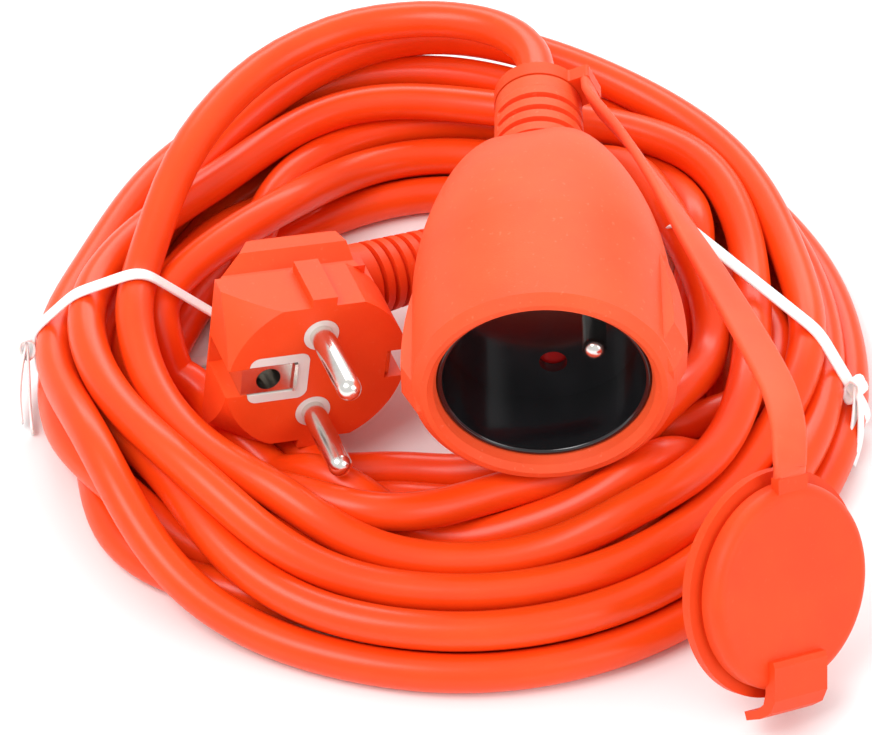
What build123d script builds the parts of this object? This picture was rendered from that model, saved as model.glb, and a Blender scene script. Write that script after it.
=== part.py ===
"""Extension cord in a loose coil: moulded socket with a tethered cap, angled plug, two ties.

Frame: +Z up, origin on the supporting surface at the middle of the coil.
The socket mouth and the plug pins face -Y. All sizes are in millimetres.
"""
from build123d import *
from math import atan2, cos, degrees, radians, sin, tan
import os

os.makedirs("parts", exist_ok=True)

# ---------------------------------------------------------------- driving dimensions
FIT = 0.05                  # radial gap between pieces that are fixed together
RUN_GAP = 0.05              # radial gap of a turning fit
BODY_GAP = 0.4              # gap between pieces that move past each other

PIN_D = 4.8                 # contact pins and earth pin
PIN_SPACING = 19.0          # centre distance of the two contact pins or holes
EARTH_OFFSET = 10.0         # earth pin or earth hole, from the middle of the pins

CABLE_D = 7.7               # sheathed three-core cable
CORE_D = 2.8                # one insulated core
CORE_SPREAD = 2.1           # core centres from the cable axis

# socket: depths t are measured from its mouth
SOCKET_MOUTH = (16.8, -41.3, 41.0)
SOCKET_ROLL = 13.0          # earth pin side raised, degrees
MOUTH_D = 50.6              # outside of the barrel
BARREL_L = 27.0
DOME_L = 59.0               # mouth to the end of the shoulder
SLEEVE_L = 77.5             # mouth to the end of the ribbed sleeve
NECK_L = 86.5               # mouth to the end of the neck
SLEEVE_D = 18.6
NECK_FLANGE_D = 17.6
NECK_GROOVE_D = 12.4
NECK_GROOVE_T = (81.0, 85.0)
WING_SPAN = 56.0            # across both side wings
RIM_RECESS = 3.0            # cup lip, behind the mouth
CUP_D = 38.8                # bore of the cup
CUP_WALL = 1.2
CUP_FLOOR = 17.5            # cup floor, behind the mouth
FLOOR_T = 2.2
INSERT_END = 34.0           # rear end of the insert's skirt
PIN_HOLE_D = 5.5
EARTH_PIN_TIP = 8.0         # tip of the earth pin, behind the mouth
SHUTTER_T = 1.6
SHUTTER_W = 6.4
SHUTTER_R = 13.2
POST_D = 5.0
CRIMP_END = 43.0
CHAMBER_R = 13.5

# plug: a runs towards the cable, h up, b back from the face
PLUG_BESIDE = 18.7          # socket barrel to the middle of the plug's face
PLUG_FACE = (SOCKET_MOUTH[0] - MOUTH_D / 2 - PLUG_BESIDE, -21.4, 26.0)
PLUG_YAW, PLUG_PITCH, PLUG_ROLL = 19.7, 5.0, 8.6
PLUG_D = 37.0               # round face
PLUG_FLAT = 33.0            # across the top and bottom flats
COLLAR_L = 12.6             # part of the plug that enters a socket
PLUG_DEPTH = 33.6
RIB_W = 5.0
PLUG_PIN_L = 19.0
PLUG_SLEEVE_ANGLE = 12.0    # cable axis leans back from the face
PLUG_SLEEVE_ROOT = (10.0, 25.0)  # a and b of the point where the sleeve's axis starts
PLUG_SLEEVE_L = 34.0
PLUG_SLEEVE_D = (17.0, 12.6)
NOTCH_H = 6.6
NOTCH_DEPTH = 3.0
PLATE_T = 0.8

# cap: ring on the neck, strap and lid
RING_D = 18.0
RING_ANGLE = 24.0           # strap root, above the socket's horizontal
STRAP_W = 7.4
STRAP_T = 2.0
STRAP_ROOT_R = 11.5
HINGE_GAP = 1.3             # hinge line to the end of each piece beside it
LID_CENTRE = (63.2, -78.3, 27.0)
LID_OUT = (0.632, -0.635, 0.446)
LID_STRAP_SIDE = (-0.020, 0.561, 0.828)
LID_D = 39.4
LID_LIP_D = 43.6
LID_RIM_D = 38.2
LID_T = 7.2
TAB_W = 13.5

# coil and ties
COIL_D = 168.0
COIL_TOP = 25.5             # height of the coil's top over the origin
COIL_SLOPE = 0.08           # rise of the top towards the back
COIL_HOLE = (41.0, 31.0)    # half axes of the open middle
COIL_HOLE_Y = 9.0
TIE_W = 3.0
TIE_T = 0.8


# ---------------------------------------------------------------- planes and helpers
def turned(angle):
    return cos(radians(angle)), sin(radians(angle))


ROLL_C, ROLL_S = turned(SOCKET_ROLL)
SOCKET = Plane(origin=SOCKET_MOUTH, x_dir=(ROLL_C, 0, ROLL_S), z_dir=(0, -1, 0))
SOCKET_SECTION = Plane(origin=SOCKET_MOUTH, x_dir=(ROLL_C, 0, ROLL_S), z_dir=(-ROLL_S, 0, ROLL_C))
SOCKET_AXIS = Axis(SOCKET_MOUTH, (0, 1, 0))

plug_out = Vector(
    turned(PLUG_YAW)[1] * turned(PLUG_PITCH)[0],
    -turned(PLUG_YAW)[0] * turned(PLUG_PITCH)[0],
    turned(PLUG_PITCH)[1],
)
plug_level = Vector(*turned(PLUG_YAW), 0)
plug_side = plug_level * turned(PLUG_ROLL)[0] - plug_out.cross(plug_level) * turned(PLUG_ROLL)[1]
plug_up = plug_out.cross(plug_side)
PLUG = Plane(origin=PLUG_FACE, x_dir=plug_side, z_dir=plug_out)
PLUG_PLAN = Plane(origin=PLUG_FACE, x_dir=plug_side, z_dir=plug_up)       # local (a, b)
PLUG_PROFILE = Plane(origin=PLUG_FACE, x_dir=-plug_out, z_dir=plug_side)  # local (b, h)


def in_socket(x, y, depth):
    return SOCKET.from_local_coords((x, y, -depth))


def in_plug(a, h, b):
    return PLUG.from_local_coords((a, h, -b))


def corner_radii(points):
    """Each corner's arc: 0.45 of its shorter run, over the tangent of half the turn."""
    points = [Vector(p) for p in points]
    radii = []
    for before, here, after in zip(points, points[1:], points[2:]):
        turn = (here - before).get_angle(after - here)
        radii.append(0.45 * min((here - before).length, (after - here).length) / tan(radians(turn / 2)))
    return radii


def tube(points, diameter):
    """A round tube along straight runs joined by tangent arcs."""
    with BuildPart() as swept:
        with BuildLine() as path:
            FilletPolyline(*points, radius=corner_radii(points))
        with BuildSketch(Plane(origin=path.line @ 0, z_dir=path.line % 0)):
            Circle(diameter / 2)
        sweep(path=path.line)
    length = sum(edge.length for edge in path.line.edges())
    section = 3.14159265 * diameter**2 / 4
    print(f"tube d {diameter}: length {length:.1f}, volume ratio {swept.part.volume / section / length:.4f}")
    return swept.part


def ribbed_grooves(plane, start, pitch, count, root_r, depth, width, rib_angle):
    """Curved grooves round a sleeve along plane's -z, left open between four long ribs."""
    with BuildPart() as grooves:
        for i in range(count):
            with BuildSketch(plane.offset(-(start + i * pitch))):
                Circle(root_r + 2)
                Circle(root_r - depth, mode=Mode.SUBTRACT)
            extrude(amount=-width)
        for quarter in range(4):
            with BuildSketch(plane.rotated((0, 0, rib_angle + 90 * quarter)).offset(-start + 1)):
                with Locations((root_r, 0)):
                    Rectangle(2 * depth + 4, 2.6)
            extrude(amount=-(count * pitch + 2), mode=Mode.SUBTRACT)
    return grooves.part


def export(piece, name):
    piece.part.label = name
    export_step(piece.part, f"parts/{name}.step")


# ---------------------------------------------------------------- socket
insert_r = CUP_D / 2 + CUP_WALL
skirt_in_r = insert_r - CUP_WALL - FIT
shutter_t0 = CUP_FLOOR + FLOOR_T + BODY_GAP
carrier_t0 = shutter_t0 + SHUTTER_T + BODY_GAP
spring_r = 3.6
spring_pocket_r = 4.4
spring_pocket_t = 3.0
contact_r = 3.2
pin_stations = [(0, PIN_SPACING / 2), (0, -PIN_SPACING / 2)]
chamber_cone_t = (CRIMP_END + 2.5, DOME_L - 3.5)
cable_start_t = DOME_L - 3

with BuildPart() as socket_housing:
    # barrel and dome, round at the mouth and squarer at the shoulder
    with BuildSketch(SOCKET):
        RectangleRounded(MOUTH_D, MOUTH_D, MOUTH_D / 2 - 0.1)
    extrude(amount=-BARREL_L)
    chamfer(socket_housing.faces().sort_by(Axis.Y)[0].edges(), 1.8)
    dome = [
        (BARREL_L, MOUTH_D / 2, MOUTH_D / 2 - 0.1), (38, 23.7, 22.8), (47, 20.7, 18.2), (53, 17.6, 13.4),
        (DOME_L, 13.6, 8.4),
    ]
    for depth, half, corner in dome:
        with BuildSketch(SOCKET.offset(-depth)):
            RectangleRounded(2 * half, 2 * half, corner)
    loft()
    # side wings
    with BuildSketch(SOCKET_SECTION):
        with BuildLine():
            outer = Polyline((0, 0.5), (WING_SPAN / 2 - 3, 0.5), (WING_SPAN / 2, 6.5))
            bend = ThreePointArc(outer @ 1, (WING_SPAN / 2 - 1.2, 22), (22.0, 38.5))
            Polyline(bend @ 1, (0, 38.5), (0, 0.5))
        make_face()
        mirror(about=Plane.YZ)
    extrude(amount=6.5, both=True, taper=12)
    # ribbed sleeve and the spool that carries the cap's ring
    with BuildSketch(SOCKET_SECTION):
        groove_r = NECK_GROOVE_D / 2
        with BuildLine():
            Polyline(
                (0, 50), (SLEEVE_D / 2, 50), (SLEEVE_D / 2 - 0.3, SLEEVE_L), (NECK_FLANGE_D / 2, SLEEVE_L + 0.6),
                (NECK_FLANGE_D / 2, NECK_GROOVE_T[0]), (groove_r, NECK_GROOVE_T[0]),
                (groove_r, NECK_GROOVE_T[1]), (7.6, NECK_GROOVE_T[1]), (7.0, NECK_L), (0, NECK_L), (0, 50),
            )
        make_face()
    revolve(axis=SOCKET_AXIS)
    add(ribbed_grooves(SOCKET, 63.1, 3.65, 4, SLEEVE_D / 2, 1.7, 1.5, 116 - SOCKET_ROLL), mode=Mode.SUBTRACT)
    # mouth step, seat of the insert, wiring chamber and cable bore
    with BuildSketch(SOCKET_SECTION):
        with BuildLine():
            Polyline(
                (0, 0), (22.4, 0), (insert_r + 0.6, 1.2), (insert_r + FIT, RIM_RECESS),
                (insert_r + FIT, INSERT_END + FIT), (CHAMBER_R, INSERT_END + FIT), (CHAMBER_R, chamber_cone_t[0]),
                (CABLE_D / 2 + FIT, chamber_cone_t[1]), (CABLE_D / 2 + FIT, NECK_L + 1), (0, NECK_L + 1), (0, 0),
            )
        make_face()
    revolve(axis=SOCKET_AXIS, mode=Mode.SUBTRACT)
export(socket_housing, "socket_housing")

with BuildPart() as socket_insert:
    with BuildSketch(SOCKET_SECTION):
        with BuildLine():
            lip = ThreePointArc(
                (CUP_D / 2, RIM_RECESS + 1.0), (CUP_D / 2 + CUP_WALL / 2, RIM_RECESS + 0.1),
                (insert_r, RIM_RECESS + 1.0),
            )
            Polyline(
                lip @ 1, (insert_r, INSERT_END), (skirt_in_r, INSERT_END), (skirt_in_r, CUP_FLOOR + FLOOR_T),
                (0, CUP_FLOOR + FLOOR_T), (0, CUP_FLOOR), (CUP_D / 2, CUP_FLOOR), lip @ 0,
            )
        make_face()
    revolve(axis=SOCKET_AXIS)
    with BuildSketch(SOCKET.offset(-CUP_FLOOR)):
        with Locations(*pin_stations):
            Circle(PIN_HOLE_D / 2)
        with Locations((EARTH_OFFSET, 0)):
            Circle(PIN_D / 2 - 0.2 + FIT)
    extrude(amount=-FLOOR_T, mode=Mode.SUBTRACT)
export(socket_insert, "socket_insert")

with BuildPart() as contact_carrier:
    with BuildSketch(SOCKET.offset(-carrier_t0)):
        Circle(skirt_in_r - FIT)
        with Locations(*pin_stations):
            Circle(PIN_HOLE_D / 2, mode=Mode.SUBTRACT)
        with Locations((EARTH_OFFSET, 0)):
            Circle(PIN_D / 2 - 0.2 + FIT, mode=Mode.SUBTRACT)
    extrude(amount=-(INSERT_END - carrier_t0))
    with BuildSketch(SOCKET.offset(-(carrier_t0 + 1))):
        with Locations(*pin_stations):
            Circle(contact_r + FIT)
    extrude(amount=-INSERT_END, mode=Mode.SUBTRACT)
    with BuildSketch(SOCKET.offset(-carrier_t0)):
        Circle(spring_pocket_r)
    extrude(amount=-spring_pocket_t, mode=Mode.SUBTRACT)
    with BuildSketch(SOCKET.offset(-(CUP_FLOOR + FLOOR_T + FIT))):
        Circle(POST_D / 2)
    extrude(amount=-(carrier_t0 + spring_pocket_t - CUP_FLOOR - FLOOR_T))
export(contact_carrier, "contact_carrier")

with BuildPart() as earth_pin:
    with BuildSketch(SOCKET.offset(-CUP_FLOOR)):
        with Locations((EARTH_OFFSET, 0)):
            Circle(PIN_D / 2)
    extrude(amount=CUP_FLOOR - EARTH_PIN_TIP)
    fillet(earth_pin.faces().sort_by(Axis.Y)[0].edges(), PIN_D / 2 - 0.1)
    with BuildSketch(SOCKET.offset(-CUP_FLOOR)):
        with Locations((EARTH_OFFSET, 0)):
            Circle(PIN_D / 2 - 0.2)
    extrude(amount=-(CRIMP_END - CUP_FLOOR))
export(earth_pin, "earth_pin")

for name, (x, y) in zip(("line_contact", "neutral_contact"), pin_stations):
    with BuildPart() as contact:
        with BuildSketch(SOCKET.offset(-(carrier_t0 + 1 + FIT))):
            with Locations((x, y)):
                Circle(contact_r)
        extrude(amount=-13)
        with BuildSketch(SOCKET.offset(-(carrier_t0 + 14))):
            with Locations((x, y)):
                Circle(CORE_D / 2 + 0.4)
        extrude(amount=-(CRIMP_END - carrier_t0 - 14))
        with BuildSketch(SOCKET.offset(-carrier_t0)):
            with Locations((x, y)):
                Circle(PIN_D / 2 - 0.05)
                Rectangle(0.8, 3 * contact_r)
        extrude(amount=-12, mode=Mode.SUBTRACT)
    export(contact, name)

with BuildPart() as shutter:
    with BuildSketch(SOCKET.offset(-shutter_t0)):
        Circle(SHUTTER_R)
        Rectangle(SHUTTER_W, 2 * SHUTTER_R, mode=Mode.INTERSECT)
        Circle(POST_D / 2 + 2.2)
        Circle(POST_D / 2 + RUN_GAP, mode=Mode.SUBTRACT)
    extrude(amount=-SHUTTER_T)
    fillet(shutter.edges().filter_by(GeomType.LINE).filter_by(Axis.Y, reverse=True), 0.4)
export(shutter, "shutter")

with BuildPart() as shutter_spring:
    with BuildLine() as spring_line:
        Helix(pitch=0.8, height=2.0, radius=spring_r, center=in_socket(0, 0, carrier_t0 + 2.6), direction=(0, -1, 0))
    with BuildSketch(Plane(origin=spring_line.line @ 0, z_dir=spring_line.line % 0)):
        Circle(0.25)
    sweep(path=spring_line.line, is_frenet=True)
export(shutter_spring, "shutter_spring")

core_stations = {
    "socket_core_line": ((0, PIN_SPACING / 2), (0, CORE_SPREAD)),
    "socket_core_neutral": ((0, -PIN_SPACING / 2), (0, -CORE_SPREAD)),
    "socket_core_earth": ((EARTH_OFFSET, 0), (CORE_SPREAD, 0)),
}
for name, ((x0, y0), (x1, y1)) in core_stations.items():
    with BuildPart() as core:
        add(tube([
            in_socket(x0, y0, CRIMP_END + FIT), in_socket(x0, y0, CRIMP_END + 3.5),
            in_socket(x1, y1, cable_start_t - 4.5), in_socket(x1, y1, cable_start_t - FIT),
        ], CORE_D))
    export(core, name)

# ---------------------------------------------------------------- cap
RING_C, RING_S = turned(RING_ANGLE)
ring_t0 = NECK_GROOVE_T[0] + 0.35
ring_t1 = NECK_GROOVE_T[1] - 0.35
strap_start_t = ring_t0 - 2 * HINGE_GAP
RING_FRAME = Plane(origin=SOCKET_MOUTH, x_dir=(RING_C, 0, RING_S), z_dir=(0, -1, 0))

with BuildPart() as cap_ring:
    with BuildSketch(RING_FRAME.offset(-ring_t0)):
        Circle(RING_D / 2)
        with Locations((STRAP_ROOT_R / 2 + 0.5 * STRAP_T, 0)):
            Rectangle(STRAP_ROOT_R, STRAP_W)
        Circle(NECK_GROOVE_D / 2 + BODY_GAP, mode=Mode.SUBTRACT)
    extrude(amount=-(ring_t1 - ring_t0))
    fillet(cap_ring.edges().filter_by(GeomType.LINE).filter_by(Axis.Y), 0.6)
export(cap_ring, "cap_ring")

lid_out = Vector(*LID_OUT).normalized()
lid_strap = (Vector(*LID_STRAP_SIDE) - lid_out * lid_out.dot(Vector(*LID_STRAP_SIDE))).normalized()
LID = Plane(origin=LID_CENTRE, x_dir=lid_strap, z_dir=lid_out)
lid_hinge_r = LID_LIP_D / 2 + 0.9
lid_tongue_z = -0.4 - STRAP_T / 2


def in_lid(along, across, out):
    return LID.from_local_coords((along, across, out))


# stations of the strap from the ring to the lid: centre, and the way its width points
strap_root = RING_FRAME.from_local_coords((STRAP_ROOT_R, 0, -strap_start_t))
strap_end = in_lid(lid_hinge_r + HINGE_GAP, 0, lid_tongue_z)
strap_stations = [
    (strap_root, (RING_S, 0, -RING_C)),
    (Vector(33.8, 26.0, 45.2), (0.35, 0.22, -0.91)),
    (Vector(39.6, 13.0, 45.1), (0.46, 0.28, -0.84)),
    (Vector(46.0, -3.0, 45.3), (0.72, 0.34, -0.60)),
    (Vector(52.4, -20.5, 46.0), (0.88, 0.34, -0.40)),
    (Vector(57.8, -37.0, 47.4), (0.92, 0.36, -0.25)),
    (Vector(60.8, -48.0, 48.2), (0.88, 0.42, -0.28)),
    (Vector(61.9, -56.6, 47.9), (0.82, 0.48, -0.32)),
    (strap_end, -(lid_out.cross(lid_strap))),
]

with BuildPart() as cap_strap:
    centres = [c for c, _ in strap_stations]
    for i, (centre, width) in enumerate(strap_stations):
        ahead = centres[min(i + 1, len(centres) - 1)] - centres[max(i - 1, 0)]
        if i == 0:
            ahead = Vector(0.15, -1, 0)
        if i == len(centres) - 1:
            ahead = -lid_strap
        across = Vector(width) - ahead.normalized() * Vector(width).dot(ahead.normalized())
        with BuildSketch(Plane(origin=centre, x_dir=across, z_dir=ahead)):
            RectangleRounded(STRAP_W, STRAP_T, 0.45)
    loft()
export(cap_strap, "cap_strap")

with BuildPart() as cap_lid:
    # turned profile: radius, then height over the front face
    with BuildSketch(Plane(origin=LID_CENTRE, x_dir=lid_strap, z_dir=-(lid_out.cross(lid_strap)))):
        with BuildLine():
            Polyline(
                (0, 0), (LID_D / 2, 0), (LID_D / 2, -4.2), (LID_D / 2 - 1.1, -4.2), (LID_D / 2 - 1.1, -5.2),
                (LID_LIP_D / 2, -5.2), (LID_LIP_D / 2, -LID_T), (LID_RIM_D / 2, -LID_T),
                (LID_RIM_D / 2 - 0.4, -LID_T - 3.4), (LID_RIM_D / 2 - 2, -LID_T - 3.4),
                (LID_RIM_D / 2 - 2, -3.2), (0, -3.2), (0, 0),
            )
        make_face()
    revolve(axis=Axis(LID_CENTRE, lid_out))
    front_edge = cap_lid.edges().filter_by(GeomType.CIRCLE).sort_by_distance(in_lid(LID_D / 2, 0, 0))[0]
    fillet(front_edge, 2.4)
    # tongue on the strap's side
    with BuildSketch(LID.offset(lid_tongue_z - STRAP_T / 2)):
        with Locations(((LID_D / 2 - 6 + lid_hinge_r - HINGE_GAP) / 2, 0)):
            Rectangle(lid_hinge_r - HINGE_GAP - LID_D / 2 + 6, STRAP_W)
    extrude(amount=STRAP_T)
    # pull tab: lies on the face, passes the edge and hooks back
    with BuildSketch(Plane(origin=LID_CENTRE, x_dir=-lid_strap, z_dir=lid_out.cross(lid_strap))):
        with BuildLine():
            Polyline(
                (LID_D / 2 - 6.8, -1.0), (LID_D / 2 - 6.8, 1.1), (LID_D / 2 - 5.8, 1.6), (LID_D / 2 + 0.6, 1.6),
                (LID_D / 2 + 3.2, 0.3), (LID_D / 2 + 4.8, -2.6), (LID_D / 2 + 5.8, -6.2), (LID_D / 2 + 4.2, -6.8),
                (LID_D / 2 + 3.2, -3.4), (LID_D / 2 + 1.8, -1.6), (LID_D / 2 - 0.4, -1.0), (LID_D / 2 - 6.8, -1.0),
            )
        make_face()
    extrude(amount=TAB_W / 2, both=True)
export(cap_lid, "cap_lid")

# ---------------------------------------------------------------- plug
PLUG_AXIS_C, PLUG_AXIS_S = turned(PLUG_SLEEVE_ANGLE)
plug_axis_dir = plug_side * PLUG_AXIS_C - plug_out * PLUG_AXIS_S
plug_sleeve_start = in_plug(PLUG_SLEEVE_ROOT[0], 0, PLUG_SLEEVE_ROOT[1])
PLUG_SLEEVE = Plane(origin=plug_sleeve_start, x_dir=plug_up, z_dir=-plug_axis_dir)
plate_outer = PLUG_D / 2 - NOTCH_DEPTH
plug_cable_start = 6.0
bridge_b = (2.0, 12.0)


def bridge_block(grow):
    """The white insert: a block with a round boss for each pin and a frame for the earth plate."""
    with BuildPart() as block:
        with BuildSketch(PLUG.offset(-bridge_b[0] + grow)):
            RectangleRounded(2 * (plate_outer - PLATE_T - 0.6) + 2 * grow, 27 + 2 * grow, 4)
        extrude(amount=-(bridge_b[1] - bridge_b[0] + 2 * grow))
        with BuildSketch(PLUG):
            with Locations((0, PIN_SPACING / 2), (0, -PIN_SPACING / 2)):
                Circle(3.6 + grow)
            with Locations((-7.95, 0)):
                RectangleRounded(12.3 + 2 * grow, 11 + 2 * grow, 2)
        extrude(amount=-bridge_b[0] - 1)
    return block.part


with BuildPart() as plug_bridge:
    add(bridge_block(0))
    with BuildSketch(PLUG):
        with Locations((0, PIN_SPACING / 2), (0, -PIN_SPACING / 2)):
            Circle(PIN_D / 2 - 0.5 + FIT)
    extrude(amount=-PLUG_DEPTH, mode=Mode.SUBTRACT)
    # seat of the earth plate, open to the notch, and the bore for its sleeve
    with BuildSketch(PLUG):
        with Locations((-9.9, 0)):
            Rectangle(11.4, 7.0)
    extrude(amount=-1.6, mode=Mode.SUBTRACT)
    with BuildSketch(PLUG):
        with Locations((-EARTH_OFFSET, 0)):
            Circle(3.3 + FIT)
    extrude(amount=-PLUG_DEPTH, mode=Mode.SUBTRACT)
export(plug_bridge, "plug_bridge")

with BuildPart() as plug_housing:
    # round face; the collar widens into a square back on the side away from the cable
    with BuildSketch(PLUG):
        Circle(PLUG_D / 2)
    extrude(amount=-COLLAR_L, taper=-36)
    with BuildSketch(PLUG):
        with Locations((-PLUG_D / 4, 0)):
            Rectangle(PLUG_D / 2, PLUG_FLAT)
    extrude(amount=-COLLAR_L, mode=Mode.INTERSECT)
    with BuildSketch(PLUG):
        Circle(PLUG_D / 2)
        Rectangle(PLUG_D, PLUG_FLAT, mode=Mode.INTERSECT)
    extrude(amount=-COLLAR_L)
    with BuildSketch(PLUG):
        with Locations((0, PLUG_FLAT / 2), (0, -PLUG_FLAT / 2)):
            Rectangle(RIB_W, 4)
    extrude(amount=-COLLAR_L)
    # grip behind the collar
    with BuildPart(mode=Mode.PRIVATE) as grip:
        with BuildSketch(PLUG_PROFILE):
            with BuildLine():
                upper = Polyline(
                    (COLLAR_L - 0.2, 15.6), (14.2, 14.0), (16.2, 14.2), (19.3, 16.8), (23.1, 16.5), (28.0, 12.8),
                    (PLUG_DEPTH, 6.0), (PLUG_DEPTH, 0), (COLLAR_L - 0.2, 0), (COLLAR_L - 0.2, 15.6),
                )
            make_face()
            mirror(about=Plane.XZ)
        extrude(amount=24, both=True)
        with BuildSketch(PLUG_PLAN):
            with BuildLine():
                Polyline(
                    (-18.3, COLLAR_L - 0.2), (-15.9, 16.0), (-11.4, 19.3), (-8.8, 23.1), (-5.2, 29.0),
                    (0, PLUG_DEPTH), (9.6, PLUG_DEPTH), (9.9, 23.0), (11.2, 17.5), (12.6, COLLAR_L - 0.2),
                    (-18.3, COLLAR_L - 0.2),
                )
            make_face()
        extrude(amount=24, both=True, mode=Mode.INTERSECT)
    add(grip.part)
    # block at the root of the sleeve, and the ribbed sleeve
    with BuildSketch(PLUG_PLAN):
        with BuildLine():
            Polyline((8, 12.6), (14.5, 12.6), (16.4, 16), (16.4, 26), (8, 26), (8, 12.6))
        make_face()
    extrude(amount=PLUG_SLEEVE_D[0] / 2 - 0.3, both=True)
    with BuildSketch(PLUG_SLEEVE.offset(3)):
        Circle(PLUG_SLEEVE_D[0] / 2)
    with BuildSketch(PLUG_SLEEVE.offset(-PLUG_SLEEVE_L)):
        Circle(PLUG_SLEEVE_D[1] / 2)
    loft()
    add(ribbed_grooves(PLUG_SLEEVE, 9.2, 2.8, 8, PLUG_SLEEVE_D[0] / 2 - 1.0, 1.6, 1.15, 38), mode=Mode.SUBTRACT)
    # side notches for the earth clips
    with BuildSketch(PLUG):
        with Locations((PLUG_D / 2, 0), (-PLUG_D / 2, 0)):
            Rectangle(2 * NOTCH_DEPTH, NOTCH_H)
    extrude(amount=-COLLAR_L + 0.8, mode=Mode.SUBTRACT)
    # room for the bridge, the earth strip, the wires and the cable
    add(bridge_block(FIT), mode=Mode.SUBTRACT)
    with BuildSketch(PLUG):
        with Locations((plate_outer - 0.6, 0), (-plate_outer + 0.6, 0)):
            Rectangle(1.24, NOTCH_H)
    extrude(amount=-bridge_b[1] - 1.4, mode=Mode.SUBTRACT)
    with BuildSketch(PLUG.offset(-bridge_b[1])):
        Rectangle(2 * plate_outer, NOTCH_H)
    extrude(amount=-1.4, mode=Mode.SUBTRACT)
    with BuildSketch(PLUG):
        with Locations((-(plate_outer + 3.9) / 2, 0)):
            Rectangle(plate_outer - 3.9, NOTCH_H)
    extrude(amount=-1.4, mode=Mode.SUBTRACT)
    with BuildSketch(PLUG_PLAN):
        with BuildLine():
            Polyline((-7, 12), (7.5, 12), (7.5, 26.5), (-3, 26.5), (-7, 20), (-7, 12))
        make_face()
    extrude(amount=11.8, both=True, mode=Mode.SUBTRACT)
    with BuildSketch(PLUG_SLEEVE.offset(5)):
        Circle(5.4)
    extrude(amount=-5 - plug_cable_start, mode=Mode.SUBTRACT)
    with BuildSketch(PLUG_SLEEVE):
        Circle(CABLE_D / 2 + FIT)
    extrude(amount=-PLUG_SLEEVE_L - 1, mode=Mode.SUBTRACT)
export(plug_housing, "plug_housing")

for name, (x, y) in zip(("plug_pin_line", "plug_pin_neutral"), pin_stations):
    with BuildPart() as plug_pin:
        with BuildSketch(PLUG):
            with Locations((x, y)):
                Circle(PIN_D / 2)
        extrude(amount=PLUG_PIN_L)
        fillet(plug_pin.faces().sort_by(Axis(PLUG_FACE, plug_out))[-1].edges(), PIN_D / 2 - 0.3)
        with BuildSketch(PLUG):
            with Locations((x, y)):
                Circle(PIN_D / 2 - 0.5)
        extrude(amount=-15.5)
    export(plug_pin, name)

with BuildPart() as plug_earth_contact:
    # cross strip with a clip on each side
    with BuildSketch(PLUG_PLAN):
        with BuildLine():
            Polyline(
                (-plate_outer, 0.3), (-plate_outer, 13.2), (plate_outer, 13.2), (plate_outer, 1.0),
                (plate_outer - PLATE_T, 1.0), (plate_outer - PLATE_T, 12.4), (-plate_outer + PLATE_T, 12.4),
                (-plate_outer + PLATE_T, 1.1), (-4.3, 1.1), (-4.3, -0.5), (-5.0, -0.5), (-5.0, 0.3),
                (-plate_outer, 0.3),
            )
        make_face()
    extrude(amount=NOTCH_H / 2 - 2 * FIT, both=True)
    # sleeve of the earth hole
    with BuildSketch(PLUG.offset(-0.3)):
        with Locations((-EARTH_OFFSET, 0)):
            Circle(3.3)
    extrude(amount=-12.2)
    with BuildSketch(PLUG):
        with Locations((-EARTH_OFFSET, 0)):
            Circle(2.5)
    extrude(amount=-12.0, mode=Mode.SUBTRACT)
    # clearance round the pins' tails
    with BuildSketch(PLUG.offset(-12)):
        with Locations((0, PIN_SPACING / 2), (0, -PIN_SPACING / 2)):
            Circle(3.0)
    extrude(amount=-2, mode=Mode.SUBTRACT)
export(plug_earth_contact, "plug_earth_contact")

for name, side in (("plug_core_line", 1), ("plug_core_neutral", -1)):
    with BuildPart() as core:
        add(tube([
            in_plug(0, side * PIN_SPACING / 2, 15.8), in_plug(0.3, side * 9.3, 19.2),
            in_plug(5.2, side * 4.2, 23.6),
            plug_sleeve_start + plug_axis_dir * 1.8 + plug_up * side * CORE_SPREAD,
            plug_sleeve_start + plug_axis_dir * (plug_cable_start - FIT) + plug_up * side * CORE_SPREAD,
        ], CORE_D))
    export(core, name)
with BuildPart() as plug_core_earth:
    add(tube([
        in_plug(-4.5, 0, 14.7), in_plug(-2.0, 0, 17.8), in_plug(4.0, 0, 20.6),
        plug_sleeve_start + plug_axis_dir * 1.8 + plug_out * CORE_SPREAD,
        plug_sleeve_start + plug_axis_dir * (plug_cable_start - FIT) + plug_out * CORE_SPREAD,
    ], CORE_D))
export(plug_core_earth, "plug_core_earth")

# ---------------------------------------------------------------- cable
socket_lead_route = [
    in_socket(0, 0, NECK_L), in_socket(0, 0, NECK_L + 7.5),
    (15.2, 61.5, 40.9), (10.2, 69.2, 40.3), (2.3, 74.7, 39.4), (-8.0, 77.0, 38.3),
    (-23.2, 75.2, 37.2), (-40.5, 66.2, 36.2), (-53.0, 51.5, 34.6), (-61.0, 33.5, 31.0), (-64.5, 15.0, 26.0),
]
plug_lead_route = [
    plug_sleeve_start + plug_axis_dir * PLUG_SLEEVE_L,
    plug_sleeve_start + plug_axis_dir * (PLUG_SLEEVE_L + 9),
    (20.4, 32.0, 13.6), (33.0, 34.4, 12.4), (45.6, 31.0, 11.6), (55.8, 22.6, 11.0), (62.6, 11.4, 10.6),
]
with BuildPart() as socket_lead:
    add(tube(socket_lead_route, CABLE_D))
    with BuildSketch(SOCKET.offset(-NECK_L)):
        Circle(CABLE_D / 2)
    extrude(amount=NECK_L - cable_start_t)
export(socket_lead, "socket_lead")
with BuildPart() as plug_lead:
    add(tube(plug_lead_route, CABLE_D))
    with BuildSketch(PLUG_SLEEVE.offset(-PLUG_SLEEVE_L)):
        Circle(CABLE_D / 2)
    extrude(amount=PLUG_SLEEVE_L - plug_cable_start)
export(plug_lead, "plug_lead")
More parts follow.
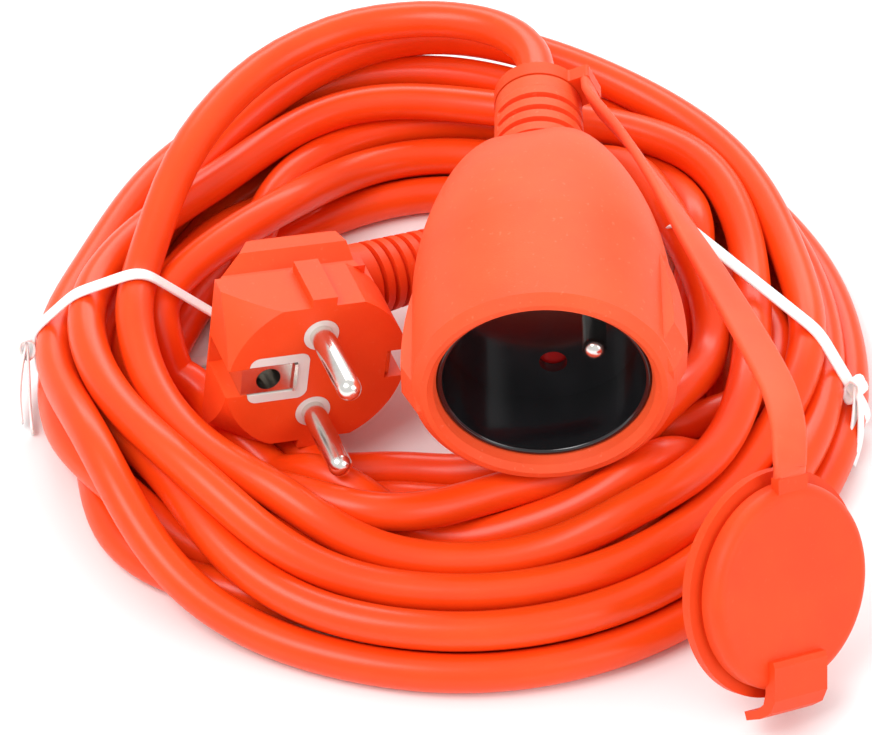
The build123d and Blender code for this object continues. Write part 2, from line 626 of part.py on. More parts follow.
for name, route in (("socket lead", socket_lead_route), ("plug lead", plug_lead_route)):
    print(name, "radii", [round(r, 1) for r in corner_radii(route)])

with BuildPart() as cord_coil:
    with BuildSketch():
        Circle(COIL_D / 2)
        with Locations((0, COIL_HOLE_Y)):
            Ellipse(*COIL_HOLE, mode=Mode.SUBTRACT)
    extrude(amount=COIL_TOP + COIL_D)
    split(bisect_by=Plane(origin=(0, 0, COIL_TOP), z_dir=(0, -COIL_SLOPE, 1)), keep=Keep.BOTTOM)
    fillet(cord_coil.edges().filter_by(GeomType.LINE, reverse=True), 6)
    # the coil lies clear of the socket and the plug
    with BuildSketch(SOCKET.offset(1)):
        Circle(MOUTH_D / 2 + 1)
    extrude(amount=-DOME_L, mode=Mode.SUBTRACT)
    with BuildSketch(PLUG.offset(PLUG_PIN_L + 1)):
        with Locations((0.5, 29)):
            Rectangle(42, 97)
    extrude(amount=-(PLUG_PIN_L + 17), mode=Mode.SUBTRACT)
    with BuildSketch(PLUG.offset(-15)):
        with Locations((3.5, 30)):
            Rectangle(36, 96.4)
    extrude(amount=-(PLUG_DEPTH - 13), mode=Mode.SUBTRACT)
export(cord_coil, "cord_coil")


def tie(name, plane, inner, outer, top, knot_z, tails):
    """A flat band round the cable bundle with a knot outside and two loose tails."""
    with BuildPart() as band:
        with BuildSketch(plane):
            with Locations(((inner + outer) / 2, top / 2)):
                RectangleRounded(outer - inner, top, 7)
                RectangleRounded(outer - inner - 2 * TIE_T, top - 2 * TIE_T, 7 - TIE_T, mode=Mode.SUBTRACT)
        extrude(amount=TIE_W / 2, both=True)
        with BuildSketch(plane):
            with Locations((outer + 1.4, knot_z)):
                RectangleRounded(5.2, 6.4, 2)
        extrude(amount=2.6, both=True)
        for tail in tails:
            heading = (Vector(tail[1]) - Vector(tail[0])).normalized()
            with BuildSketch(Plane(origin=tail[0], x_dir=heading.cross(Vector(tail[2])), z_dir=heading)):
                Rectangle(TIE_W, TIE_T)
            extrude(amount=(Vector(tail[1]) - Vector(tail[0])).length)
    export(band, name)


left_plane = Plane(origin=(0, 14, 0), x_dir=(-1, -0.14, 0), z_dir=(-0.14, 1, 0))
tie(
    "tie_left", left_plane, 50.5, 86.2, 26.4, 11.0,
    [
        ((-86.4, 0.6, 10.0), (-88.2, -13.0, 2.2), (-1, 0, 0.2)),
        ((-86.0, 0.6, 9.6), (-83.4, -16.0, 3.2), (-1, 0, 0.2)),
    ],
)
right_plane = Plane(origin=(52, 13, 0), x_dir=(0.764, -0.645, 0), z_dir=(-0.645, -0.764, 0))
tie(
    "tie_right", right_plane, -4, 41.8, 26.6, 11.0,
    [
        ((84.6, -15.4, 10.0), (85.6, -27.0, 2.6), (1, 0, 0.2)),
        ((83.8, -15.6, 9.4), (81.4, -30.0, 3.0), (1, 0, 0.2)),
    ],
)
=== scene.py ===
import math

import bmesh
import bpy
import numpy as np
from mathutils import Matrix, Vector


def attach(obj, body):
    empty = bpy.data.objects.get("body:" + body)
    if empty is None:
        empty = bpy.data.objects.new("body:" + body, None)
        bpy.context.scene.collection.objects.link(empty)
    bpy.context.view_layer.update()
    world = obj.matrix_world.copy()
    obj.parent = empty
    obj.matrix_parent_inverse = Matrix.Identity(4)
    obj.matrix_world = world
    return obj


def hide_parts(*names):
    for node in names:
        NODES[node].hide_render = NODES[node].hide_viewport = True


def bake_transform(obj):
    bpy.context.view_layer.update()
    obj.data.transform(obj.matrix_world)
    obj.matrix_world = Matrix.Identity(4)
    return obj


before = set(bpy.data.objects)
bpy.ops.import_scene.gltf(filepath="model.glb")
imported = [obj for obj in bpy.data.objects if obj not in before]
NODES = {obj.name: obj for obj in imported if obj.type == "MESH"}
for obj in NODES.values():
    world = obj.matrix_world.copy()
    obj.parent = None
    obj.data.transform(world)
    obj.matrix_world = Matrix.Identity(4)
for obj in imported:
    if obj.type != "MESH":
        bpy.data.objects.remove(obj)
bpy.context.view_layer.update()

# ------------------------------------------------------------------ camera
DISTANCE = 0.85
ELEVATION = math.radians(46)
camera = bpy.data.objects.new("camera", bpy.data.cameras.new("camera"))
bpy.context.scene.collection.objects.link(camera)
camera.location = (0, -DISTANCE * math.cos(ELEVATION), DISTANCE * math.sin(ELEVATION))
camera.rotation_euler = (math.pi / 2 - ELEVATION, 0, 0)
camera.data.sensor_width = 36
camera.data.lens = 171.95
camera.data.shift_x = -0.0229
camera.data.shift_y = 0.0224
camera.data.clip_start = 0.05
camera.data.clip_end = 20
bpy.context.scene.camera = camera

# ------------------------------------------------------------------ cord
CABLE_R = 3.85  # millimetres, as all the layout below; metres only when the curve is made
SOCKET_LEAD = [
    (16.8, 44.6, 41.0), (16.8, 51.5, 40.9), (15.0, 59.0, 40.3), (9.6, 65.6, 39.3), (1.4, 69.8, 38.2),
    (-9.0, 71.8, 37.0), (-23.5, 70.0, 36.0), (-39.0, 60.5, 35.0), (-50.0, 46.5, 33.5), (-57.5, 31.0, 31.0),
]
PLUG_LEAD = [
    (55.8, 22.6, 11.0), (45.6, 31.0, 11.6), (33.0, 34.4, 12.4), (20.4, 32.0, 13.6), (10.3, 27.3, 15.2),
    (2.8, 22.3, 16.8),
]
# strands of the bundle's section at four stations: distance from the middle and height
LEFT = [
    (81, 4), (77, 11), (73, 4), (69, 12), (65, 4), (61, 12), (57, 4), (53.5, 12), (73, 19), (64, 23),
    (48, 4),
]
FRONT = [
    (79, 4), (72.5, 9.5), (70.5, 4), (64.5, 10.5), (61.5, 4), (57, 14), (53, 4), (49, 9.5), (45.5, 15), (36, 6),
    (28.5, 9),
]
RIGHT = [
    (78, 4), (74, 11), (69.5, 4), (65, 11), (61, 4), (56.5, 11), (52, 4), (48, 12), (70, 19), (60.5, 19),
    (52, 21),
]
BACK = [
    (79.5, 4), (79.5, 12), (71.5, 4), (71.5, 12.2), (63.5, 4), (62.5, 12.2), (55, 4), (79, 20.3), (79, 28.2),
    (68, 20.5),
]
# which strand each turn takes there, from the socket to the plug
LEFT_ORDER = [9, 8, 3, 1, 2, 0, 4, 5, 7, 6, 10]
FRONT_ORDER = [5, 3, 1, 0, 2, 6, 4, 8, 7, 9, 10]
RIGHT_ORDER = [9, 8, 1, 0, 2, 4, 6, 10, 5, 7, 3]
BACK_ORDER = [9, 8, 7, 1, 0, 2, 4, 5, 6, 3]
# how far the bundle's outline is in or out of a circle, by angle
OUTLINE = [
    (0, 1.0), (45, 1.0), (90, 1.0), (135, 1.0), (180, 1.0), (225, 0.945), (270, 1.0), (315, 0.965), (360, 1.0),
]
STEP = 5  # degrees between the coil's points
TURNS = 11
WOBBLE = 1.6  # how far each strand strays from its station
CLEAR = 0.4  # kept between the cord and the housings
OUTERMOST = 81.0  # no strand's middle goes past this radius

PLUG_AT = np.array((-27.2, -21.4, 26.0))
PLUG_OUT = np.array((0.335813, -0.937888, 0.087156))
PLUG_SIDE = np.array((0.935278, 0.321035, -0.148966))
PLUG_UP = np.array((0.111734, 0.13154, 0.984994))


def coil_start(rng):
    stations = []
    for turn in range(TURNS):
        stations.append(LEFT[LEFT_ORDER[turn]])
        stations.append(FRONT[FRONT_ORDER[turn]])
        stations.append(RIGHT[RIGHT_ORDER[turn]])
        if turn < TURNS - 1:
            stations.append(BACK[BACK_ORDER[turn]])
    stations = np.array(stations, float)
    wave = rng.uniform(-1, 1, len(stations) + 2)
    points = []
    for angle in np.arange(170, 180 + 90 * (len(stations) - 1) + 10, STEP):
        at = min(max((angle - 180) / 90, 0), len(stations) - 1.0001)
        i = int(at)
        f = (at - i) ** 2 * (3 - 2 * (at - i))
        r, z = stations[i] * (1 - f) + stations[i + 1] * f
        r *= np.interp(angle % 360, [a for a, _ in OUTLINE], [v for _, v in OUTLINE])
        r += WOBBLE * (wave[i] * (1 - f) + wave[i + 1] * f)
        points.append((r * math.cos(math.radians(angle)), r * math.sin(math.radians(angle)), z))
    return np.array(points)


def dense(points, pitch=4.0):
    out = []
    for a, b in zip(points, points[1:]):
        a, b = np.array(a, float), np.array(b, float)
        n = max(1, int(np.linalg.norm(b - a) / pitch))
        out += [a + (b - a) * k / n for k in range(n)]
    return np.array(out)


def plug_point(a, h, b):
    return PLUG_AT + a * PLUG_SIDE + h * PLUG_UP - b * PLUG_OUT


def push_from_capsule(p, a, b, ra, rb):
    a, b = np.array(a, float), np.array(b, float)
    t = np.clip((p - a) @ (b - a) / ((b - a) @ (b - a)), 0, 1)
    v = p - (a + t[:, None] * (b - a))
    dist = np.linalg.norm(v, axis=1) + 1e-9
    return v / dist[:, None] * np.maximum(0, ra + (rb - ra) * t + CABLE_R + CLEAR - dist)[:, None]


def push_from_plug(p):
    rel = p - PLUG_AT
    a, h, b = rel @ PLUG_SIDE, rel @ PLUG_UP, -(rel @ PLUG_OUT)
    g = CABLE_R + CLEAR
    move = np.zeros_like(p)
    blocks = ((-18.8, 18.6, 0, 16.5, -16.6), (-16.5, 16.5, 16.5, 34, -15.5), (-2.6, 2.6, 0, 12.6, -18.5))
    for a0, a1, b0, b1, h0 in blocks:
        inside = (a > a0 - g) & (a < a1 + g) & (b > b0 - g) & (b < b1 + g) & (h > h0 - g)
        down, left, front = h - (h0 - g), a - (a0 - g), b - (b0 - g)
        use_down = inside & (down < 6) & (down <= left + 4) & (down <= front + 4)
        use_left = inside & ~use_down & (left < front)
        use_front = inside & ~use_down & ~use_left
        move -= np.where(use_down, down, 0)[:, None] * PLUG_UP
        move -= np.where(use_left, left, 0)[:, None] * PLUG_SIDE
        move += np.where(use_front, front, 0)[:, None] * PLUG_OUT
    for h0 in (-9.5, 9.5):
        move += push_from_capsule(p, plug_point(0, h0, 0), plug_point(0, h0, -17), 2.4, 2.4)
    return move + push_from_capsule(p, plug_point(10, 0, 25), plug_point(43.5, 0, 32.2), 8.5, 6.4)


def push_from_socket(p):
    move = np.zeros_like(p)
    for y0, y1, r0, r1 in ((-41, -14, 25.4, 25.4), (-14, 6, 25.4, 22.5), (6, 20, 22.5, 14.5), (20, 40, 9.6, 9.3)):
        move += push_from_capsule(p, (16.8, y0, 41), (16.8, y1, 41), r0, r1)
    return move


def relax(path, fixed, steps=420):
    """Strands push each other apart and settle, clear of the floor, the socket and the plug."""
    index = np.arange(len(path))
    near = np.abs(index[:, None] - index[None, :]) < 6
    order = np.sign(index[:, None] - index[None, :])
    home = path.copy()
    want = 2 * CABLE_R + 0.38

    def weights(a, b):
        squared = (a**2).sum(1)[:, None] + (b**2).sum(1)[None, :] - 2 * a @ b.T
        dist = np.sqrt(np.maximum(squared, 1e-6))
        return dist, np.maximum(0, want - dist)

    for step in range(steps):
        late = step > 0.75 * steps
        dist, over = weights(path, path)
        over[near] = 0
        w = over / dist
        move = (path * w.sum(1)[:, None] - w @ path) * 0.36
        deep = (dist < 6.2) & ~near
        move[:, 2] += 0.25 * np.where(deep, order, 0).sum(1)
        dist, over = weights(path, fixed)
        over[:5, :] = 0
        over[-5:, :] = 0
        w = over / dist
        move += (path * w.sum(1)[:, None] - w @ fixed) * 0.5
        if not late:
            move[:, 2] -= 0.05
            move += (home - path) * 0.006
        move *= np.minimum(1, 1.5 / (np.linalg.norm(move, axis=1) + 1e-9))[:, None]
        path = path + move
        bend = np.zeros_like(path)
        bend[2:-2] = path[:-4] - 4 * path[1:-3] + 6 * path[2:-2] - 4 * path[3:-1] + path[4:]
        path = path - 0.055 * bend
        slip = (path[:-2] + path[2:]) / 2 - path[1:-1]
        along = path[2:] - path[:-2]
        along /= np.linalg.norm(along, axis=1)[:, None]
        path[1:-1] += 0.3 * (slip * along).sum(1)[:, None] * along
        for _ in range(2):
            path += push_from_plug(path) * 0.8
            path += push_from_socket(path) * 0.8
        path[:, 2] = np.maximum(path[:, 2], CABLE_R + 0.05)
        path[:, :2] *= np.minimum(1, OUTERMOST / np.hypot(path[:, 0], path[:, 1]))[:, None]
        path[:2] = home[:2]
        path[-2:] = home[-2:]
    return path


coil = coil_start(np.random.default_rng(7))
coil = relax(coil, np.vstack([dense(SOCKET_LEAD), dense(PLUG_LEAD)]))
route = np.vstack([SOCKET_LEAD, coil, PLUG_LEAD])

cord_data = bpy.data.curves.new("cord", "CURVE")
cord_data.dimensions = "3D"
spline = cord_data.splines.new("NURBS")
spline.points.add(len(route) - 1)
for point, at in zip(spline.points, route):
    point.co = (at[0] / 1000, at[1] / 1000, at[2] / 1000, 1)
    point.radius = CABLE_R / 1000
spline.order_u = 3
spline.use_endpoint_u = True
spline.resolution_u = 3
cord_data.bevel_depth = 1.0
cord_data.bevel_resolution = 6
cord_data.use_fill_caps = True
cord = bpy.data.objects.new("cord", cord_data)
bpy.context.scene.collection.objects.link(cord)
for poly in cord_data.splines:
    poly.use_smooth = True
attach(cord, "base")
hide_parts("cord_coil", "socket_lead", "plug_lead")


# ------------------------------------------------------------------ materials
def new_material(name):
    material = bpy.data.materials.new(name)
    material.use_nodes = True
    nodes, links = material.node_tree.nodes, material.node_tree.links
    shader = nodes["Principled BSDF"]
    return material, nodes, links, shader


def add_node(nodes, kind, **values):
    node = nodes.new(kind)
    for key, value in values.items():
        if key in node.inputs:
            node.inputs[key].default_value = value
        else:
            setattr(node, key, value)
    return node


def plastic(name, color, shade, rough=0.4, grain=1500, bump=0.05, mottle=60, dust=0.0, scatter=0.06,
            specular=0.5, coat=0.0):
    """Moulded plastic: two tones in slow patches, fine moulding grain, uneven gloss and a few pale specks."""
    material, nodes, links, shader = new_material(name)
    where = add_node(nodes, "ShaderNodeTexCoord")
    patches = add_node(nodes, "ShaderNodeTexNoise", Scale=mottle, Detail=4.0, Roughness=0.6)
    links.new(where.outputs["Object"], patches.inputs["Vector"])
    ramp = add_node(nodes, "ShaderNodeValToRGB")
    ramp.color_ramp.elements[0].position = 0.33
    ramp.color_ramp.elements[1].position = 0.68
    ramp.color_ramp.elements[0].color = (*shade, 1)
    ramp.color_ramp.elements[1].color = (*color, 1)
    links.new(patches.outputs["Fac"], ramp.inputs["Fac"])
    last = ramp.outputs["Color"]
    if dust:
        specks = add_node(nodes, "ShaderNodeTexNoise", Scale=900.0, Detail=2.0)
        links.new(where.outputs["Object"], specks.inputs["Vector"])
        pick = add_node(nodes, "ShaderNodeMapRange")
        pick.inputs["From Min"].default_value = 0.66
        pick.inputs["From Max"].default_value = 0.74
        pick.inputs["To Max"].default_value = dust
        links.new(specks.outputs["Fac"], pick.inputs["Value"])
        mix = add_node(nodes, "ShaderNodeMix", data_type="RGBA")
        links.new(pick.outputs["Result"], mix.inputs[0])
        links.new(last, mix.inputs[6])
        mix.inputs[7].default_value = (min(1, color[0] * 1.05), color[1] * 1.6 + 0.1, color[2] * 1.6 + 0.1, 1)
        last = mix.outputs[2]
    links.new(last, shader.inputs["Base Color"])
    fine = add_node(nodes, "ShaderNodeTexNoise", Scale=grain, Detail=3.0, Roughness=0.65)
    links.new(where.outputs["Object"], fine.inputs["Vector"])
    gloss = add_node(nodes, "ShaderNodeMapRange")
    gloss.inputs["To Min"].default_value = rough - 0.05
    gloss.inputs["To Max"].default_value = rough + 0.07
    links.new(patches.outputs["Fac"], gloss.inputs["Value"])
    links.new(gloss.outputs["Result"], shader.inputs["Roughness"])
    surface = add_node(nodes, "ShaderNodeBump", Strength=bump, Distance=0.0002)
    links.new(fine.outputs["Fac"], surface.inputs["Height"])
    links.new(surface.outputs["Normal"], shader.inputs["Normal"])
    shader.inputs["Specular IOR Level"].default_value = specular
    shader.inputs["Subsurface Weight"].default_value = scatter
    shader.inputs["Subsurface Radius"].default_value = (1.0, 0.3, 0.1)
    shader.inputs["Subsurface Scale"].default_value = 0.002
    shader.inputs["Coat Weight"].default_value = coat
    shader.inputs["Coat Roughness"].default_value = 0.15
    return material


def metal(name, color, shade, rough=0.16, scratch=0.08):
    """Plated metal: fine drawing marks, small tone changes and a slightly uneven polish."""
    material, nodes, links, shader = new_material(name)
    where = add_node(nodes, "ShaderNodeTexCoord")
    patches = add_node(nodes, "ShaderNodeTexNoise", Scale=140.0, Detail=5.0)
    links.new(where.outputs["Object"], patches.inputs["Vector"])
    ramp = add_node(nodes, "ShaderNodeValToRGB")
    ramp.color_ramp.elements[0].color = (*shade, 1)
    ramp.color_ramp.elements[1].color = (*color, 1)
    ramp.color_ramp.elements[0].position = 0.3
    ramp.color_ramp.elements[1].position = 0.6
    links.new(patches.outputs["Fac"], ramp.inputs["Fac"])
    links.new(ramp.outputs["Color"], shader.inputs["Base Color"])
    stretch = add_node(nodes, "ShaderNodeMapping")
    stretch.inputs["Scale"].default_value = (2500, 160, 2500)
    links.new(where.outputs["Object"], stretch.inputs["Vector"])
    lines = add_node(nodes, "ShaderNodeTexNoise", Scale=1.0, Detail=2.0)
    links.new(stretch.outputs["Vector"], lines.inputs["Vector"])
    gloss = add_node(nodes, "ShaderNodeMapRange")
    gloss.inputs["To Min"].default_value = rough
    gloss.inputs["To Max"].default_value = rough + 0.12
    links.new(lines.outputs["Fac"], gloss.inputs["Value"])
    links.new(gloss.outputs["Result"], shader.inputs["Roughness"])
    surface = add_node(nodes, "ShaderNodeBump", Strength=scratch, Distance=0.0001)
    links.new(lines.outputs["Fac"], surface.inputs["Height"])
    links.new(surface.outputs["Normal"], shader.inputs["Normal"])
    shader.inputs["Metallic"].default_value = 1.0
    return material


def tape(name):
    """Pale flat tape with a fine bumpy grain."""
    material, nodes, links, shader = new_material(name)
    where = add_node(nodes, "ShaderNodeTexCoord")
    patches = add_node(nodes, "ShaderNodeTexNoise", Scale=220.0, Detail=3.0)
    links.new(where.outputs["Object"], patches.inputs["Vector"])
    ramp = add_node(nodes, "ShaderNodeValToRGB")
    ramp.color_ramp.elements[0].color = (0.86, 0.85, 0.83, 1)
    ramp.color_ramp.elements[1].color = (0.97, 0.96, 0.94, 1)
    links.new(patches.outputs["Fac"], ramp.inputs["Fac"])
    links.new(ramp.outputs["Color"], shader.inputs["Base Color"])
    weave = add_node(nodes, "ShaderNodeTexNoise", Scale=2600.0, Detail=1.0)
    links.new(where.outputs["Object"], weave.inputs["Vector"])
    surface = add_node(nodes, "ShaderNodeBump", Strength=0.25, Distance=0.0002)
    links.new(weave.outputs["Fac"], surface.inputs["Height"])
    links.new(surface.outputs["Normal"], shader.inputs["Normal"])
    shader.inputs["Roughness"].default_value = 0.55
    shader.inputs["Subsurface Weight"].default_value = 0.15
    shader.inputs["Subsurface Scale"].default_value = 0.001
    return material


ORANGE = (0.93, 0.072, 0.006)
ORANGE_DEEP = (0.85, 0.056, 0.004)
BODY = (0.93, 0.105, 0.028)
BODY_DEEP = (0.87, 0.082, 0.020)
body_mat = plastic("moulded_orange", BODY, BODY_DEEP, rough=0.5, grain=2600, bump=0.22, mottle=45, dust=0.25,
                 specular=0.3)
cap_mat = plastic("soft_orange", (0.88, 0.070, 0.008), (0.81, 0.055, 0.006), rough=0.5, grain=2200, bump=0.1,
                  mottle=50, dust=0.06, specular=0.3)
plug_mat = plastic("plug_orange", (0.93, 0.082, 0.012), (0.86, 0.064, 0.008), rough=0.47, grain=2600, bump=0.18,
                   mottle=45, dust=0.15, specular=0.3)
strap_mat = plastic("strap_orange", (0.92, 0.115, 0.040), (0.87, 0.09, 0.03), rough=0.52, grain=2200, bump=0.1,
                    mottle=50, dust=0.08, specular=0.3)
cable_mat = plastic("sheath_orange", ORANGE, ORANGE_DEEP, rough=0.3, grain=900, bump=0.06, mottle=30, dust=0.03,
                    specular=0.36)
insert_mat = plastic("gloss_black", (0.012, 0.012, 0.014), (0.006, 0.006, 0.007), rough=0.13, grain=400, bump=0.05,
                     mottle=80, scatter=0.0, coat=0.4)
carrier_mat = plastic("matt_black", (0.02, 0.02, 0.02), (0.012, 0.012, 0.012), rough=0.45, scatter=0.0)
shutter_mat = plastic("gloss_red", (0.55, 0.012, 0.01), (0.4, 0.008, 0.008), rough=0.22, scatter=0.0, bump=0.04)
bridge_mat = plastic("ivory_white", (0.86, 0.84, 0.8), (0.78, 0.76, 0.72), rough=0.3, bump=0.05, mottle=120)
nickel_mat = metal("nickel", (0.82, 0.8, 0.76), (0.7, 0.68, 0.64))
brass_mat = metal("brass", (0.8, 0.58, 0.26), (0.66, 0.46, 0.2), rough=0.22)
steel_mat = metal("spring_wire", (0.62, 0.62, 0.63), (0.5, 0.5, 0.52), rough=0.25)
tie_mat = tape("tie_tape")
brown_mat = plastic("core_brown", (0.13, 0.05, 0.02), (0.1, 0.04, 0.016), scatter=0.0)
blue_mat = plastic("core_blue", (0.02, 0.08, 0.42), (0.015, 0.06, 0.32), scatter=0.0)
green_mat = plastic("core_green", (0.35, 0.42, 0.03), (0.06, 0.3, 0.03), mottle=260, scatter=0.0)

LOOKS = {
    "socket_housing": body_mat, "plug_housing": plug_mat, "cap_ring": cap_mat, "cap_strap": strap_mat,
    "cap_lid": cap_mat, "socket_insert": insert_mat, "contact_carrier": carrier_mat, "shutter": shutter_mat,
    "shutter_spring": steel_mat, "earth_pin": nickel_mat, "plug_pin_line": nickel_mat,
    "plug_pin_neutral": nickel_mat, "plug_earth_contact": nickel_mat, "line_contact": brass_mat,
    "neutral_contact": brass_mat, "plug_bridge": bridge_mat, "tie_left": tie_mat, "tie_right": tie_mat,
    "socket_core_line": brown_mat, "plug_core_line": brown_mat, "socket_core_neutral": blue_mat,
    "plug_core_neutral": blue_mat, "socket_core_earth": green_mat, "plug_core_earth": green_mat,
    "cord_coil": cable_mat, "socket_lead": cable_mat, "plug_lead": cable_mat,
}
for name, material in LOOKS.items():
    node = NODES[name]
    node.data.materials.clear()
    node.data.materials.append(material)
cord_data.materials.append(cable_mat)

# ------------------------------------------------------------------ ties
TIE_OFFSET = 0.75  # middle of the tape off the cord's surface
RIBBON_SIDES = 12


def hull(points):
    points = sorted(set(map(tuple, np.round(points, 4))))

    def half(seq):
        out = []
        for p in seq:
            while len(out) > 1 and ((out[-1][0] - out[-2][0]) * (p[1] - out[-2][1])
                                    - (out[-1][1] - out[-2][1]) * (p[0] - out[-2][0])) <= 0:
                out.pop()
            out.append(p)
        return out

    lower, upper = half(points), half(points[::-1])
    return np.array(lower[:-1] + upper[:-1])


def resample(loop, count):
    loop = np.vstack([loop, loop[:1]])
    run = np.concatenate([[0], np.cumsum(np.linalg.norm(np.diff(loop, axis=0), axis=1))])
    at = np.linspace(0, run[-1], count, endpoint=False)
    return np.stack([np.interp(at, run, loop[:, k]) for k in range(2)], 1)


def strip_mesh(name, centres, normals, sides, width, thick, closed, material, caps=(True, True)):
    """A flat ribbon through the centres, with rounded long edges and, if open, the ends asked for."""
    outline = []
    for k in range(RIBBON_SIDES):
        a = 2 * math.pi * k / RIBBON_SIDES
        x = math.copysign(abs(math.cos(a)) ** 0.35, math.cos(a)) * width / 2
        y = math.copysign(abs(math.sin(a)) ** 0.6, math.sin(a)) * thick / 2
        outline.append((x, y))
    mesh = bmesh.new()
    rings = []
    for c, n, s in zip(centres, normals, sides):
        rings.append([mesh.verts.new(Vector((c + s * x + n * y) / 1000)) for x, y in outline])
    count = len(rings)
    for i in range(count if closed else count - 1):
        a, b = rings[i], rings[(i + 1) % count]
        for k in range(RIBBON_SIDES):
            after = (k + 1) % RIBBON_SIDES
            mesh.faces.new((a[k], a[after], b[after], b[k]))
    if caps[0] and not closed:
        mesh.faces.new(rings[0][::-1])
    if caps[1] and not closed:
        mesh.faces.new(rings[-1])
    bmesh.ops.recalc_face_normals(mesh, faces=mesh.faces)
    data = bpy.data.meshes.new(name)
    mesh.to_mesh(data)
    data.shade_smooth()
    obj = bpy.data.objects.new(name, data)
    bpy.context.scene.collection.objects.link(obj)
    data.materials.append(material)
    return obj


def smooth_line(points, count):
    """Catmull-Rom through the points."""
    p = np.array([points[0], *points, points[-1]], float)
    out = []
    for t in np.linspace(0, len(points) - 1.0001, count):
        i, f = int(t), t - int(t)
        a, b, c, d = p[i], p[i + 1], p[i + 2], p[i + 3]
        out.append(0.5 * (2 * b + (c - a) * f + (2 * a - 5 * b + 4 * c - d) * f**2 + (3 * b - a - 3 * c + d) * f**3))
    return np.array(out)


def tie(name, origin, heading, reach, knot_z, tails, node):
    origin = np.array(origin, float)
    u = np.array(heading, float) / np.linalg.norm(heading)
    up = np.array((0, 0, 1.0))
    out = np.cross(u, up)
    rel = coil - origin
    side = rel @ out
    circles = []
    for i in range(len(coil) - 1):
        if side[i] * side[i + 1] <= 0:
            f = side[i] / (side[i] - side[i + 1] + 1e-12)
            hit = coil[i] * (1 - f) + coil[i + 1] * f - origin
            x, z = hit @ u, hit[2]
            if reach[0] < x < reach[1]:
                for k in range(24):
                    a = 2 * math.pi * k / 24
                    over = CABLE_R + TIE_OFFSET
                    circles.append((x + over * math.cos(a), max(0.55, z + over * math.sin(a))))
    ring = resample(hull(np.array(circles)), 160)
    for _ in range(6):
        ring = (np.roll(ring, 1, 0) + 2 * ring + np.roll(ring, -1, 0)) / 4
    ring[:, 1] = np.maximum(ring[:, 1], 0.6)
    forward = np.roll(ring, -1, 0) - np.roll(ring, 1, 0)
    forward /= np.linalg.norm(forward, axis=1)[:, None]
    centres = origin * (1, 1, 0) + ring[:, :1] * u + ring[:, 1:] * up
    normals = forward[:, 1:] * u - forward[:, :1] * up
    sides = np.tile(out, (len(ring), 1))
    band = strip_mesh(name + "_band", centres, normals, sides, 2.8, 0.7, True, tie_mat)
    knot_i = int(np.argmin(np.abs(ring[:, 1] - knot_z) + 50 * (ring[:, 0] < ring[:, 0].mean())))
    knot_at = centres[knot_i] + u * 1.5
    parts = [band]
    for k, tilt in enumerate((0.3, -0.5)):
        turn = []
        for j in range(14):
            a = 2 * math.pi * j / 14
            sway = out * (tilt * 2 * math.sin(a) + (k - 0.5) * 1.2)
            turn.append(knot_at + u * 1.5 * math.cos(a) + up * (2.3 * math.sin(a)) + sway)
        turn = np.array(turn)
        away = turn - knot_at
        away /= np.linalg.norm(away, axis=1)[:, None]
        parts.append(strip_mesh(f"{name}_knot{k}", turn, away, np.tile(out, (14, 1)), 2.6, 0.7, True, tie_mat))
    for k, tail in enumerate(tails):
        line = smooth_line([knot_at + np.array(p, float) for p in tail], 24)
        step = np.gradient(line, axis=0)
        step /= np.linalg.norm(step, axis=1)[:, None]
        side_dir = np.cross(step, u)
        side_dir /= np.linalg.norm(side_dir, axis=1)[:, None]
        parts.append(strip_mesh(f"{name}_tail{k}", line, np.cross(side_dir, step), side_dir, 2.6, 0.6, False, tie_mat))
    for part in parts:
        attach(part, "base")
    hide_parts(node)


tie("left_tie", (0, 14, 0), (-1, -0.14, 0), (46, 90), 11, [
    [(0, 0, 0), (-0.8, -4, -2.5), (-1.2, -9, -6), (-0.6, -14, -8.6)],
    [(0, 0, 0), (0.4, -4, -3.4), (0.8, -10, -7.5), (1.6, -16, -9.2)],
], "tie_left")
tie("right_tie", (52, 13, 0), (0.764, -0.645, 0), (-10, 46), 11, [
    [(0, 0, 0), (0.8, -4, -2), (0.6, -9, -6), (-0.8, -13, -8.8)],
    [(0, 0, 0), (-0.4, -5, -3), (-1.6, -11, -7), (-3.4, -17, -9.0)],
], "tie_right")

# ------------------------------------------------------------------ cap strap
STRAP_W, STRAP_T = 7.4, 2.0
lid_at = np.array((63.2, -78.3, 27.0))
lid_out = np.array((0.632, -0.635, 0.446))
lid_out /= np.linalg.norm(lid_out)
lid_side = np.array((-0.020, 0.561, 0.828))
lid_side -= lid_out * (lid_out @ lid_side)
lid_side /= np.linalg.norm(lid_side)
lid_width = -np.cross(lid_out, lid_side)


def lid_point(along):
    return lid_at + along * lid_side - 1.4 * lid_out


STRAP = [
    ((27.306, 41.6, 45.677), (0.407, 0, -0.914)), ((27.306, 38.75, 45.677), (0.407, 0, -0.914)),
    ((28.2, 35.6, 45.66), (0.407, 0, -0.914)), ((33.8, 26.0, 45.2), (0.35, 0.22, -0.91)),
    ((39.6, 13.0, 45.1), (0.46, 0.28, -0.84)), ((46.0, -3.0, 45.3), (0.72, 0.34, -0.60)),
    ((52.4, -20.5, 46.0), (0.88, 0.34, -0.40)), ((57.8, -37.0, 47.4), (0.92, 0.36, -0.25)),
    ((60.8, -48.0, 48.2), (0.88, 0.42, -0.28)), ((61.9, -56.6, 47.9), (0.82, 0.48, -0.32)),
    (lid_point(24.0), lid_width), (lid_point(21.4), lid_width), (lid_point(18.4), lid_width),
]
strap_line = smooth_line([at for at, _ in STRAP], 150)
strap_width = smooth_line([across for _, across in STRAP], 150)
strap_ahead = np.gradient(strap_line, axis=0)
strap_ahead /= np.linalg.norm(strap_ahead, axis=1)[:, None]
strap_width -= strap_ahead * (strap_width * strap_ahead).sum(1)[:, None]
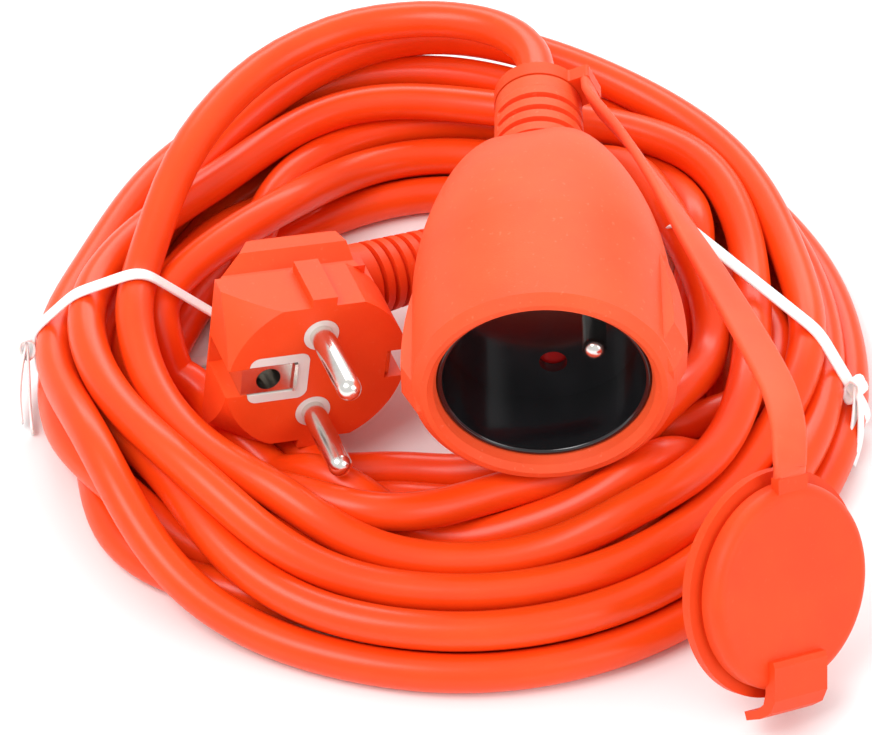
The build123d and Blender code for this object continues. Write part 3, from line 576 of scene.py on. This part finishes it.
strap_width /= np.linalg.norm(strap_width, axis=1)[:, None]
strap_normal = np.cross(strap_width, strap_ahead)
for half, (a, b), (first, last), caps, (start, end) in (
    ("upper", ("ring", "strap"), (0, 76), (True, False), ((27.306, 40.0, 45.677), (27.5, 37.2, 45.677))),
    ("lower", ("strap", "lid"), (75, 150), (False, True), (lid_point(24.2), lid_point(21.2))),
):
    picked = slice(first, last)
    piece = strip_mesh("strap_" + half, strap_line[picked], strap_normal[picked], strap_width[picked], STRAP_W, STRAP_T,
                       False, strap_mat, caps)
    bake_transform(piece)
    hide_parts("cap_strap")

# ------------------------------------------------------------------ stage
def floor_material():
    material, nodes, links, shader = new_material("studio_floor")
    shader.inputs["Base Color"].default_value = (0.9, 0.9, 0.9, 1)
    shader.inputs["Roughness"].default_value = 0.7
    return material


floor_data = bpy.data.meshes.new("floor")
floor_mesh = bmesh.new()
bmesh.ops.create_grid(floor_mesh, x_segments=1, y_segments=1, size=3.0)
floor_mesh.to_mesh(floor_data)
floor_data.materials.append(floor_material())
floor = bpy.data.objects.new("floor", floor_data)
bpy.context.scene.collection.objects.link(floor)

world = bpy.data.worlds.new("studio")
world.use_nodes = True
world.node_tree.nodes["Background"].inputs["Color"].default_value = (1, 1, 1, 1)
world.node_tree.nodes["Background"].inputs["Strength"].default_value = 0.8
bpy.context.scene.world = world
bpy.context.scene.view_settings.view_transform = "Standard"


def area_light(name, at, size, power, target=(0, 0, 0.02)):
    lamp = bpy.data.lights.new(name, "AREA")
    lamp.shape = "RECTANGLE"
    lamp.size, lamp.size_y = size
    lamp.energy = power
    obj = bpy.data.objects.new(name, lamp)
    obj.location = at
    obj.rotation_euler = (Vector(target) - Vector(at)).to_track_quat("-Z", "Y").to_euler()
    bpy.context.scene.collection.objects.link(obj)
    return obj


lights = [
    area_light("key", (-0.5, -0.35, 1.0), (0.7, 0.5), 7),
    area_light("back", (0.1, 0.95, 0.75), (1.2, 0.35), 7),
    area_light("fill", (0.8, -0.6, 0.6), (0.6, 0.6), 3),
]
